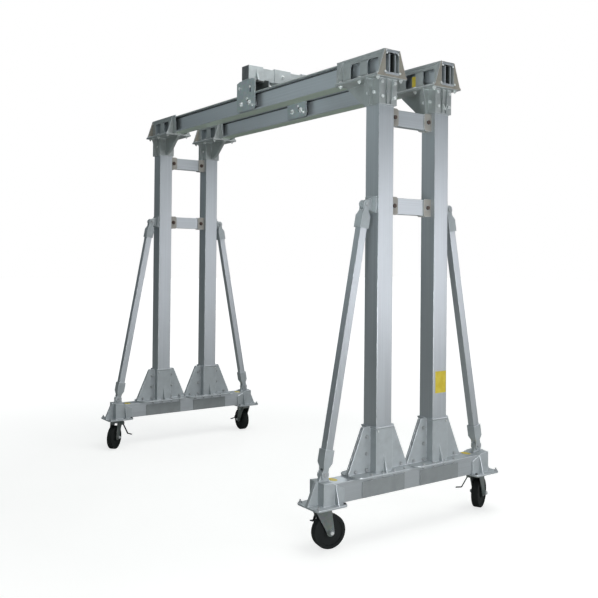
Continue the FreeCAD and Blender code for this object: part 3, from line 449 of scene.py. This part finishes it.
# a node's first letters, its finish, its edges' finish, their rounding and its slot
DRESS = [
    ("main_beam", "beam", "edge", 0.0012, "extruded_aluminium"),
    ("post", "post", "edge", 0.003, "extruded_aluminium"),
    ("tie_cleats", "cleat", "edge", 0.0015, "cast_aluminium"),
    ("tie", "foot", "edge", 0.002, "extruded_aluminium"),
    ("brace_ends", "casting", "edge", 0.002, "cast_aluminium"),
    ("brace_lugs", "casting", "edge", 0.0015, "cast_aluminium"),
    ("brace_left_front", "brace_front", "edge", 0.002, "extruded_aluminium"),
    ("brace_right_front", "brace_front", "edge", 0.002, "extruded_aluminium"),
    ("brace_left_rear", "brace_rear", "edge", 0.002, "extruded_aluminium"),
    ("brace_right_rear", "brace_rear", "edge", 0.002, "extruded_aluminium"),
    ("head_bracket", "head_casting", "edge", 0.0018, "cast_aluminium"),
    ("base_bracket", "casting", "edge", 0.0026, "cast_aluminium"),
    ("end_bracket", "casting", "edge", 0.0026, "cast_aluminium"),
    ("foot_beam", "foot", "edge", 0.003, "extruded_aluminium"),
    ("foot_side_plates", "side_plate", "edge", 0.0008, "dull_plate"),
    ("trolley_crossbeam", "bar_casting", "edge", 0.0018, "cast_aluminium"),
    ("trolley_hanger", "hanger", "steel_edge", 0.0012, "hanger_steel"),
    ("trolley_rollers", "roller", "steel_edge", 0.0, "roller_steel"),
    ("caster_mounts", "zinc", "steel_edge", 0.0006, "zinc_steel"),
    ("caster_fork", "zinc", "steel_edge", 0.0008, "zinc_steel"),
    ("caster_wheel", "rubber", "rubber", 0.0, "black_rubber"),
    ("brake_lever", "black", "black", 0.0008, "black_steel"),
]
for name in sorted(nodes):
    dressed(name, *next(row[1:] for row in DRESS if name.startswith(row[0])))


# ---------------------------------------------------------------- fasteners and labels
handful = random.Random(11)


def start_edit(piece):
    only(piece)
    bpy.ops.object.mode_set(mode="EDIT")
    bpy.ops.mesh.select_all(action="SELECT")


def finish_edit(piece, finish, angle=35.0):
    bpy.ops.mesh.select_all(action="SELECT")
    bpy.ops.mesh.normals_make_consistent(inside=False)
    bpy.ops.object.mode_set(mode="OBJECT")
    piece.data.materials.append(FINISHES[finish])
    bpy.ops.object.shade_smooth_by_angle(angle=math.radians(angle))
    return piece


def raised(name, sides, steps, finish, angle=35.0):
    """A solid drawn up from a flat polygon, in millimetres: each step is a radius and a height."""
    bpy.ops.object.select_all(action="DESELECT")
    radius, height = steps[0]
    bpy.ops.mesh.primitive_circle_add(vertices=sides, radius=radius * MM, fill_type="NGON",
                                      location=(0, 0, height * MM))
    piece = bpy.context.object
    piece.name = name
    bpy.ops.object.transform_apply(location=True, rotation=True, scale=True)
    start_edit(piece)
    for new_radius, new_height in steps[1:]:
        bpy.ops.mesh.extrude_region_move(
            TRANSFORM_OT_translate={"value": (0, 0, (new_height - height) * MM)})
        share = new_radius / radius
        bpy.ops.transform.resize(value=(share, share, 1), center_override=(0, 0, 0))
        radius, height = new_radius, new_height
    return finish_edit(piece, finish, angle)


def drawn_wire(name, radius, path, finish):
    """A bent wire: a small hexagon pushed from point to point, in millimetres."""
    bpy.ops.object.select_all(action="DESELECT")
    bpy.ops.mesh.primitive_circle_add(vertices=6, radius=radius * MM, fill_type="NGON",
                                      location=Vector(path[0]) * MM)
    piece = bpy.context.object
    piece.name = name
    bpy.ops.object.transform_apply(location=True, rotation=True, scale=True)
    start_edit(piece)
    for before, after in zip(path, path[1:]):
        bpy.ops.mesh.extrude_region_move(
            TRANSFORM_OT_translate={"value": (Vector(after) - Vector(before)) * MM})
    return finish_edit(piece, finish, 60.0)


def thin_plate(name, half_x, half_y, corner, thick, finish):
    """A flat plate or label with rounded corners, lying on its seat."""
    bpy.ops.object.select_all(action="DESELECT")
    bpy.ops.mesh.primitive_plane_add(size=2.0)
    piece = bpy.context.object
    piece.name = name
    piece.scale = (half_x * MM, half_y * MM, 1.0)
    bpy.ops.object.transform_apply(location=True, rotation=True, scale=True)
    start_edit(piece)
    bpy.ops.mesh.bevel(offset=corner * MM, offset_type="OFFSET", segments=4, affect="VERTICES")
    bpy.ops.mesh.select_all(action="SELECT")
    bpy.ops.mesh.extrude_region_move(TRANSFORM_OT_translate={"value": (0, 0, thick * MM)})
    return finish_edit(piece, finish)


def oval_plate(name, half_x, half_y, thick, finish):
    """A flat oval label, lying on its seat."""
    piece = raised(name, 28, [(half_x, 0), (half_x, thick)], finish)
    start_edit(piece)
    bpy.ops.transform.resize(value=(1, half_y / half_x, 1), center_override=(0, 0, 0))
    bpy.ops.object.mode_set(mode="OBJECT")
    return piece


def joined(name, parts):
    """Several parts made one piece."""
    bpy.ops.object.select_all(action="DESELECT")
    for part in parts:
        part.select_set(True)
    bpy.context.view_layer.objects.active = parts[0]
    if len(parts) > 1:
        bpy.ops.object.join()
    piece = bpy.context.object
    piece.name = name
    return piece


def washer(radius, thick, finish):
    return raised("washer", 18, [(radius, 0), (radius, thick * 0.7), (radius * 0.95, thick)], finish)


def hexagon(across, foot, height, finish):
    """A bolt's head or a nut, with its corners chamfered and its crown slightly dished."""
    corner = across / math.sqrt(3.0)
    top = foot + height
    return raised("hexagon", 6, [(corner, foot), (corner, foot + height * 0.86), (corner * 0.88, top),
                                 (corner * 0.52, top), (corner * 0.48, foot + height * 0.94)], finish, 20.0)


def threaded_end(radius, foot, length, finish):
    pitch = radius * 0.4
    steps = [(radius, foot)]
    for turn in range(int(length / pitch)):
        low = foot + turn * pitch
        steps += [(radius * 0.86, low + pitch * 0.5), (radius, low + pitch)]
    steps.append((radius * 0.7, foot + length + pitch * 0.6))
    return raised("threaded_end", 10, steps, finish, 20.0)


def bolt_head(name, across, finish, washer_radius=None, washer_finish="dull_bolt"):
    parts = [hexagon(across, 2.0, across * 0.42, finish)]
    parts.append(washer(washer_radius or across * 0.66, 2.2, washer_finish))
    return joined(name, parts)


def nut_and_tail(name, across, tail, finish, washer_radius=None):
    parts = [hexagon(across, 2.0, across * 0.48, finish)]
    parts.append(washer(washer_radius or across * 0.66, 2.2, finish))
    parts.append(threaded_end(across * 0.31, across * 0.40, tail, finish))
    return joined(name, parts)


def split_pin(height):
    """A split pin through a shaft, at a height over its seat: an eye, and two bent legs across from it."""
    bpy.ops.object.select_all(action="DESELECT")
    bpy.ops.mesh.primitive_torus_add(major_radius=3.4 * MM, minor_radius=1.1 * MM, major_segments=14,
                                     minor_segments=6, location=(12.5 * MM, 0, height * MM))
    eye = bpy.context.object
    bpy.ops.object.transform_apply(location=True, rotation=True, scale=True)
    start_edit(eye)
    bpy.ops.transform.resize(value=(1, 0.8, 1), center_override=(0, 0, 0))
    finish_edit(eye, "bright")
    legs = [drawn_wire("leg", 1.3, [(-8.5, 0.9 * way, height), (-11, 3.5 * way, height + 0.6),
                                    (-11.5, 8.5 * way, height + 1.4)], "bright") for way in (-1, 1)]
    return [eye] + legs


# one of each fastener and label, in millimetres, standing on its seat and looking up
TEMPLATES = {
    "head_bolt": bolt_head("head_bolt", 19, "bright"),
    "head_nut": nut_and_tail("head_nut", 19, 9, "bright"),
    "base_bolt": bolt_head("base_bolt", 19, "dull_bolt"),
    "base_nut": nut_and_tail("base_nut", 19, 7, "dull_bolt"),
    "flange_bolt": bolt_head("flange_bolt", 16, "dull_bolt", 10),
    "flange_nut": nut_and_tail("flange_nut", 16, 7, "dull_bolt", 10),
    "tie_bolt": bolt_head("tie_bolt", 24, "brown_bolt", 17),
    "tie_nut": nut_and_tail("tie_nut", 24, 8, "brown_bolt", 17),
    "caster_bolt": bolt_head("caster_bolt", 16, "dark_bolt", 11),
    "caster_nut": nut_and_tail("caster_nut", 16, 12, "dull_bolt", 11),
    "small_screw": bolt_head("small_screw", 10, "bright"),
    "end_plate_bolt": bolt_head("end_plate_bolt", 13, "bright"),
    "pin_head": raised("pin_head", 20, [(13.5, 0), (13.5, 3.2), (12.4, 4.6), (8, 5.4), (5, 5.4), (4, 4.9)],
                       "dull_bolt"),
    "pin_tail": joined("pin_tail", [washer(13.5, 2.4, "dull_bolt"),
                                    raised("pin_end", 18, [(8, 1.5), (8, 10.4), (6.6, 12)], "dull_bolt")]
                       + split_pin(6.4)),
    "axle_cap": joined("axle_cap", [
        raised("axle_nut", 6, [(13.8, -1), (13.8, 6.4), (12, 7.6), (9, 7.6)], "dull_bolt", 20.0),
        raised("axle_dome", 18, [(10.4, 6), (10.4, 9), (9.4, 12), (7, 14.2), (3.6, 15.3), (1, 15.6)],
               "bright")]),
    "roller_nut": joined("roller_nut", [washer(21, 3, "bright"), hexagon(24, 2.8, 11, "bright"),
                                        threaded_end(7.6, 10, 8, "dull_bolt")]),
    "bar_bolt": joined("bar_bolt", [washer(13, 2.5, "bright"), hexagon(17, 2.4, 9, "bright"),
                                    threaded_end(5, 8, 8, "bright")]),
    "spring_clip": drawn_wire("spring_clip", 3.4, [(5, -20, 30), (5, -17, 33), (5, -11, 22), (5, 0, 0),
                                                   (5, 11, 22), (5, 17, 33), (5, 20, 30)], "bright"),
    "tall_slot": thin_plate("tall_slot", 6, 22, 5.8, 0.35, "shadow"),
    "slot_bolt": bolt_head("slot_bolt", 15, "bright"),
    "bar_cap": thin_plate("bar_cap", 47, 50.5, 3, 0.5, "grey_cap"),
    "post_label": thin_plate("post_label", 47, 69, 3, 0.4, "label"),
    "window_label": thin_plate("window_label", 17, 34, 3, 0.4, "label"),
    "foot_label": oval_plate("foot_label", 38, 24, 0.4, "label"),
}


def facing(direction):
    """The turn that takes a template's Z to a direction and keeps its Y upwards, or its X along X."""
    normal = Vector(direction)
    level = Vector((1, 0, 0)) if abs(normal.z) > 0.9 else UP.cross(normal).normalized()
    return Matrix((level, normal.cross(level), normal)).transposed().to_4x4()


def set_out(name, spots, body):
    """Copies of templates joined into one piece. A spot is a template, a place, a direction and a turn."""
    copies = []
    for template, place, direction, turn in spots:
        one = TEMPLATES[template].copy()
        one.data = one.data.copy()
        bpy.context.scene.collection.objects.link(one)
        one.matrix_world = Matrix.Translation(place) @ facing(direction) @ Matrix.Rotation(turn, 4, "Z")
        copies.append(one)
    bpy.context.view_layer.update()
    piece = joined(name, copies)
    bpy.ops.object.transform_apply(location=True, rotation=True, scale=True)
    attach(piece, body)
    return piece


def any_turn():
    """Bolts stop at any angle; a sixth of a turn covers all that differ."""
    return handful.uniform(0.0, math.pi / 3.0)


class Corner:
    """A post's corner of the crane: places in millimetres outwards, across and up from a node's foot."""

    def __init__(self, side, row, node):
        low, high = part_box(f"post_{side}_{row}")
        self.middle = Vector(((low[0] + high[0]) / 2, (low[1] + high[1]) / 2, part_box(node)[0][2]))
        self.out = Vector((SIDES[side], 0, 0))
        self.across = Vector((0, ROWS[row], 0))

    def at(self, out, across, up):
        return self.middle + (out * self.out + across * self.across + up * UP) * MM


# where the fasteners sit: millimetres outwards, across and up from the foot of what they hold
HEAD_PLATE_OUT, HEAD_PLATE_ACROSS = (84, -90, -272), 92
HEAD_PLATE_TOP, HEAD_PLATE_UNDER = 176, 158
COLLAR_END, COLLAR_END_BOLTS = 74.2, ((52, 133), (48, 46))
COLLAR_SIDE, COLLAR_SIDE_OUT, COLLAR_SIDE_UP = 70.2, (-28, 28), 76
END_PLATE = 110
END_PLATE_BOLT, END_PLATE_SCREW = (59, 187), (46, 298)

BASE_SEAM, BASE_SEAM_BOLTS = 14, ((96, 225), (96, 125), (96, 28), (181, 28))
BASE_FLANGE, BASE_FLANGE_ACROSS, BASE_FLANGE_OUT = 12, (110, 20, -70, -155), (-80, 80)
BASE_SCREW = (66.2, 52, 262)
CLEAT_FACE, CLEAT_ACROSS = 31.2, -93
BRACE_LINE, BRACE_PIN_SEAT = 1500, 23       # the braces' middle plane, and a pin's seat out from it
END_FLANGE, END_FLANGE_OUT = 12, (-88, 88)
END_FLANGE_ROWS = ((318, "caster_bolt"), (507, "caster_nut"))
AXLE_SEAT = 46                              # a caster's axle cap, out from the wheel's middle

# the trolley's: millimetres along the beams and up from the ground, and its two heights in metres
ROLLER_AXLES, ROLLER_AXLE_HEIGHT = (-20, 96), 2.8373
CHEEK_BOLTS, CHEEK_SLOTS = ((-43, 2961), (140, 2812)), ((104, 2934), (66, 2850))
SLOT_TO_BOLT = 20
BAR_BOLT_ENDS, BAR_BOLT_HEIGHT = ((88, 1), (-12, -1)), 3.071


def head_fasteners(side, row):
    """Bolts through the head bracket's plate, into its collar and on its end plate."""
    corner = Corner(side, row, f"head_bracket_{side}_{row}")
    spots = []
    for out in HEAD_PLATE_OUT:
        for across in (-HEAD_PLATE_ACROSS, HEAD_PLATE_ACROSS):
            spots.append(("head_bolt", corner.at(out, across, HEAD_PLATE_TOP), UP, any_turn()))
            spots.append(("head_nut", corner.at(out, across, HEAD_PLATE_UNDER), DOWN, any_turn()))
    for across, up in COLLAR_END_BOLTS:
        for way in (-1, 1):
            spots.append(("head_bolt", corner.at(COLLAR_END, way * across, up), corner.out, any_turn()))
    for way in (-1, 1):
        for out in COLLAR_SIDE_OUT:
            place = corner.at(out, way * COLLAR_SIDE, COLLAR_SIDE_UP)
            spots.append(("head_bolt", place, way * corner.across, any_turn()))
        for template, (across, up) in (("end_plate_bolt", END_PLATE_BOLT), ("small_screw", END_PLATE_SCREW)):
            spots.append((template, corner.at(END_PLATE, way * across, up), corner.out, any_turn()))
    set_out(f"head_bolts_{side}_{row}", spots, "crane_frame")


def base_fasteners(side, row):
    """Bolts that clamp the base bracket's halves together, and others through its flange."""
    corner = Corner(side, row, f"base_bracket_{side}_{row}")
    spots = []
    for across, up in BASE_SEAM_BOLTS:
        for way in (-1, 1):
            spots.append(("base_bolt", corner.at(BASE_SEAM, way * across, up), corner.out, any_turn()))
            spots.append(("base_nut", corner.at(-BASE_SEAM, way * across, up), -corner.out, any_turn()))
    for across in BASE_FLANGE_ACROSS:
        for out in BASE_FLANGE_OUT:
            spots.append(("flange_bolt", corner.at(out, across, BASE_FLANGE), UP, any_turn()))
            spots.append(("flange_nut", corner.at(out, across, 0), DOWN, any_turn()))
    out, across, up = BASE_SCREW
    for way in (-1, 1):
        spots.append(("small_screw", corner.at(way * out, across, up), way * corner.out, any_turn()))
    set_out(f"base_bolts_{side}_{row}", spots, "crane_frame")


def tie_fasteners(side, row):
    """One large browned bolt through each tie cleat."""
    corner = Corner(side, row, f"post_{side}_{row}")
    spots = []
    for level in ("upper", "lower"):
        low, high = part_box(f"tie_{side}_{level}")
        up = ((low[2] + high[2]) / 2 - corner.middle.z) / MM
        spots.append(("tie_bolt", corner.at(CLEAT_FACE, CLEAT_ACROSS, up), corner.out, any_turn()))
        spots.append(("tie_nut", corner.at(-CLEAT_FACE, CLEAT_ACROSS, up), -corner.out, any_turn()))
    set_out(f"tie_bolts_{side}_{row}", spots, "crane_frame")


def brace_pins(side, row):
    """A headed pin at each end of a brace, held by a washer and a split pin."""
    spots = []
    for across, up in (PIN_TOP, PIN_FOOT):
        for way, template in ((1, "pin_head"), (-1, "pin_tail")):
            out = BRACE_LINE + way * BRACE_PIN_SEAT
            place = Vector((SIDES[side] * out, ROWS[row] * across, up)) * MM
            spots.append((template, place, (way * SIDES[side], 0, 0), handful.uniform(0.0, 6.0)))
    set_out(f"brace_pins_{side}_{row}", spots, "crane_frame")


def end_fasteners(side, row):
    """The caster's four bolts, with their nuts on the end bracket's flange."""
    corner = Corner(side, row, f"end_bracket_{side}_{row}")
    spots = []
    for out in END_FLANGE_OUT:
        for across, template in END_FLANGE_ROWS:
            spots.append((template, corner.at(out, across, END_FLANGE), UP, any_turn()))
    set_out(f"end_bolts_{side}_{row}", spots, "crane_frame")


def caster_fasteners(side, row):
    """The domed nuts on both ends of a caster's axle."""
    name = f"{side}_{row}"
    joint = next(j for j in frame["record"]["behaviour"]["joints"] if j["name"] == "wheel_spin_" + name)
    middle, axle = Vector(joint["pos_m"]), Vector(joint["axis"])
    spots = [("axle_cap", middle + way * AXLE_SEAT * MM * axle, way * axle, any_turn()) for way in (-1, 1)]
    set_out(f"axle_caps_{name}", spots, "caster_fork_" + name)


def trolley_fasteners():
    """Axle nuts and plate bolts of both hangers, and the crossbeam's through bolt."""
    for row, way in ROWS.items():
        low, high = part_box(f"trolley_hanger_{row}")
        outer = high[1] if way > 0 else low[1]
        inner = low[1] if way > 0 else high[1]
        spots = []
        for across, towards in ((outer, way), (inner, -way)):
            aim = (0, towards, 0)
            for x in ROLLER_AXLES:
                spots.append(("roller_nut", Vector((x * MM, across, ROLLER_AXLE_HEIGHT)), aim, any_turn()))
            for x, z in CHEEK_BOLTS:
                spots.append(("head_bolt", Vector((x * MM, across, z * MM)), aim, any_turn()))
            for x, z in CHEEK_SLOTS:
                spots.append(("tall_slot", Vector((x * MM, across, z * MM)), aim, 0.0))
                bolt = Vector((x * MM, across, (z + SLOT_TO_BOLT) * MM))
                spots.append(("slot_bolt", bolt, aim, any_turn()))
        set_out(f"trolley_bolts_{row}", spots, "trolley")
    spots = [("bar_bolt", Vector((place * MM, 0.0, BAR_BOLT_HEIGHT)), (towards, 0, 0), any_turn())
             for place, towards in BAR_BOLT_ENDS]
    set_out("trolley_bar_bolts", spots, "trolley")


for side, row in CORNERS:
    head_fasteners(side, row)
    base_fasteners(side, row)
    tie_fasteners(side, row)
    brace_pins(side, row)
    end_fasteners(side, row)
    caster_fasteners(side, row)
trolley_fasteners()

CAP_PLACE = (0.038, 0.306, 3.0685)          # along, across and up, in metres, as the next three are
POST_LABEL_PLACE = (1.560, 0.242, 0.892)
WINDOW_LABEL_PLACE = (1.362, 0.1768, 2.832)
CLIP_PLACE = (1.5742, 0.246, 2.628)
FOOT_LABEL_PLACE = (-18, 328, 120)          # in millimetres outwards, across and up from the foot beam's foot


def alone(name, place, direction, body):
    """One template set out by itself, unturned, under its own name."""
    set_out(name, [(name, Vector(place), direction, 0.0)], body)


along, across, up = CAP_PLACE
set_out("trolley_end_caps", [("bar_cap", Vector((along, way * across, up)), (0, way, 0), 0.0)
                             for way in (-1, 1)], "trolley")
alone("post_label", POST_LABEL_PLACE, (1, 0, 0), "crane_frame")
alone("window_label", WINDOW_LABEL_PLACE, (0, -1, 0), "crane_frame")
alone("spring_clip", CLIP_PLACE, (0, 0, 1), "crane_frame")
for side, row in CORNERS:
    place = Corner(side, row, f"foot_beam_{side}").at(*FOOT_LABEL_PLACE)
    set_out(f"foot_label_{side}_{row}", [("foot_label", place, UP, 0.0)], "crane_frame")
for template in TEMPLATES.values():
    bpy.data.objects.remove(template)


# ---------------------------------------------------------------- stage
FLOOR_GLOW = 0.72               # how far the floor's own white stands in for a lit studio floor
FLOOR_FADE = (2.0, 7.0)         # how far from the middle it starts to turn plain white, and ends
FLOOR_SHADES = (0.42, 0.43, 0.41), (0.45, 0.46, 0.44)
WORLD_LIGHT = 0.49
# the surroundings' colour from straight below, 0, through level, 0.5, to straight above, 1
SKY = [
    (0.0, (0.10, 0.12, 0.10)),
    (0.48, (0.14, 0.17, 0.16)),
    (0.52, (0.15, 0.19, 0.205)),
    (0.70, (0.34, 0.39, 0.41)),
    (1.0, (0.70, 0.72, 0.74)),
]
# a lamp's name, place, aim, width and height, watts, colour and spread in degrees
LAMPS = [
    ("key", (6.2, 3.8, 1.75), (0.3, 0.0, 1.6), (3.0, 2.4), 55.0, (0.965, 0.955, 1.0), 180.0),
    ("low_fill", (5.4, -1.2, 0.9), (1.4, -0.1, 0.3), (2.2, 1.0), 17.0, (0.97, 0.98, 1.0), 90.0),
    ("high_fill", (-6.2, -5.5, 5.2), (0.0, 0.0, 2.5), (5.0, 2.0), 18.0, (0.86, 0.97, 1.0), 180.0),
    ("back_sheen", (-6.5, 5.8, 4.0), (1.4, -0.4, 0.4), (3.5, 1.6), 22.0, (0.93, 0.98, 1.0), 120.0),
    ("under_fill", (3.4, -4.6, 0.7), (0.9, 0.0, 2.85), (1.6, 0.6), 7.5, (0.90, 0.98, 1.0), 40.0),
    ("top", (1.5, 0.5, 5.6), (0.5, 0, 0), (4.0, 3.0), 130.0, (1, 1, 1), 180.0),
]
EYE = (5.1293, -3.4012, 1.6506)
EYE_TURN = (143.525, 0.617, 0.534)          # yaw, pitch and roll, in degrees
SENSOR, FOCAL_LENGTH = 36.0, 47.511
SHIFT = (-0.02664, -0.0768)


def stage_floor():
    """A pale floor that fades to plain white away from the crane."""
    bpy.ops.object.select_all(action="DESELECT")
    bpy.ops.mesh.primitive_plane_add(size=120.0, location=(0, 0, 0))
    floor = bpy.context.object
    floor.name = "studio_floor"
    finish = Finish("pale_studio_floor", 0.0, 0.9)
    finish.shader.inputs["Specular IOR Level"].default_value = 0.1
    soft = finish.noise(0.8, 2.0)
    finish.colour(finish.blend(finish.remap(soft, 0.3, 0.7, 0, 1), *FLOOR_SHADES))
    away = finish.node("ShaderNodeVectorMath")
    away.operation = "LENGTH"
    finish.link(finish.place, away.inputs[0])
    glow = finish.remap(away.outputs["Value"], *FLOOR_FADE, FLOOR_GLOW, 1.0)
    seen = finish.node("ShaderNodeLightPath")
    shown = finish.node("ShaderNodeMath")
    shown.operation = "MULTIPLY"
    finish.link(glow, shown.inputs[0])
    finish.link(seen.outputs["Is Camera Ray"], shown.inputs[1])
    finish.shader.inputs["Emission Color"].default_value = (1, 1, 1, 1)
    finish.link(shown.outputs["Value"], finish.shader.inputs["Emission Strength"])
    floor.data.materials.append(finish.material)


def softbox(name, place, aim, size, power, colour, spread):
    """A rectangular lamp that lights the crane and isn't seen itself."""
    light = bpy.data.lights.new(name, "AREA")
    light.shape = "RECTANGLE"
    light.size, light.size_y = size
    light.energy = power
    light.color = colour
    light.spread = math.radians(spread)
    lamp = bpy.data.objects.new(name, light)
    bpy.context.scene.collection.objects.link(lamp)
    lamp.location = place
    lamp.rotation_euler = (Vector(aim) - Vector(place)).to_track_quat("-Z", "Y").to_euler()
    lamp.visible_camera = False


def world_light():
    """Soft white behind the crane; as light, dim at the sides, darker below and brighter above."""
    world = bpy.data.worlds.new("studio")
    bpy.context.scene.world = world
    world.use_nodes = True
    tree = world.node_tree
    tree.nodes.clear()
    add, link = tree.nodes.new, tree.links.new
    split = add("ShaderNodeSeparateXYZ")
    link(add("ShaderNodeTexCoord").outputs["Generated"], split.inputs[0])
    height = add("ShaderNodeMapRange")
    height.inputs["From Min"].default_value = -1.0
    link(split.outputs["Z"], height.inputs["Value"])
    sky = add("ShaderNodeValToRGB")
    while len(sky.color_ramp.elements) < len(SKY):
        sky.color_ramp.elements.new(0.5)
    for element, (place, colour) in zip(sky.color_ramp.elements, SKY):
        element.position = place
        element.color = (*colour, 1.0)
    link(height.outputs["Result"], sky.inputs["Fac"])
    glow, back = add("ShaderNodeBackground"), add("ShaderNodeBackground")
    link(sky.outputs["Color"], glow.inputs["Color"])
    glow.inputs["Strength"].default_value = WORLD_LIGHT
    back.inputs["Color"].default_value = (1, 1, 1, 1)
    mix = add("ShaderNodeMixShader")
    link(add("ShaderNodeLightPath").outputs["Is Camera Ray"], mix.inputs[0])
    link(glow.outputs[0], mix.inputs[1])
    link(back.outputs[0], mix.inputs[2])
    link(mix.outputs[0], add("ShaderNodeOutputWorld").inputs[0])


def camera():
    """The camera at its place, looking along its yaw and pitch and rolled a little."""
    lens = bpy.data.cameras.new("camera")
    lens.sensor_width = SENSOR
    lens.lens = FOCAL_LENGTH
    lens.shift_x, lens.shift_y = SHIFT
    lens.clip_end = 200.0
    eye = bpy.data.objects.new("camera", lens)
    bpy.context.scene.collection.objects.link(eye)
    yaw, pitch, roll = (math.radians(angle) for angle in EYE_TURN)
    forward = Vector((math.cos(yaw) * math.cos(pitch), math.sin(yaw) * math.cos(pitch), math.sin(pitch)))
    right = Vector((math.sin(yaw), -math.cos(yaw), 0))
    up = right.cross(forward)
    across = math.cos(roll) * right + math.sin(roll) * up
    over = -math.sin(roll) * right + math.cos(roll) * up
    turn = Matrix((across, over, -forward)).transposed().to_4x4()
    eye.matrix_world = Matrix.Translation(EYE) @ turn
    bpy.context.scene.camera = eye


stage_floor()
world_light()
for lamp in LAMPS:
    softbox(*lamp)
camera()
bpy.context.scene.view_settings.view_transform = "Standard"
bpy.context.scene.view_settings.look = "None"
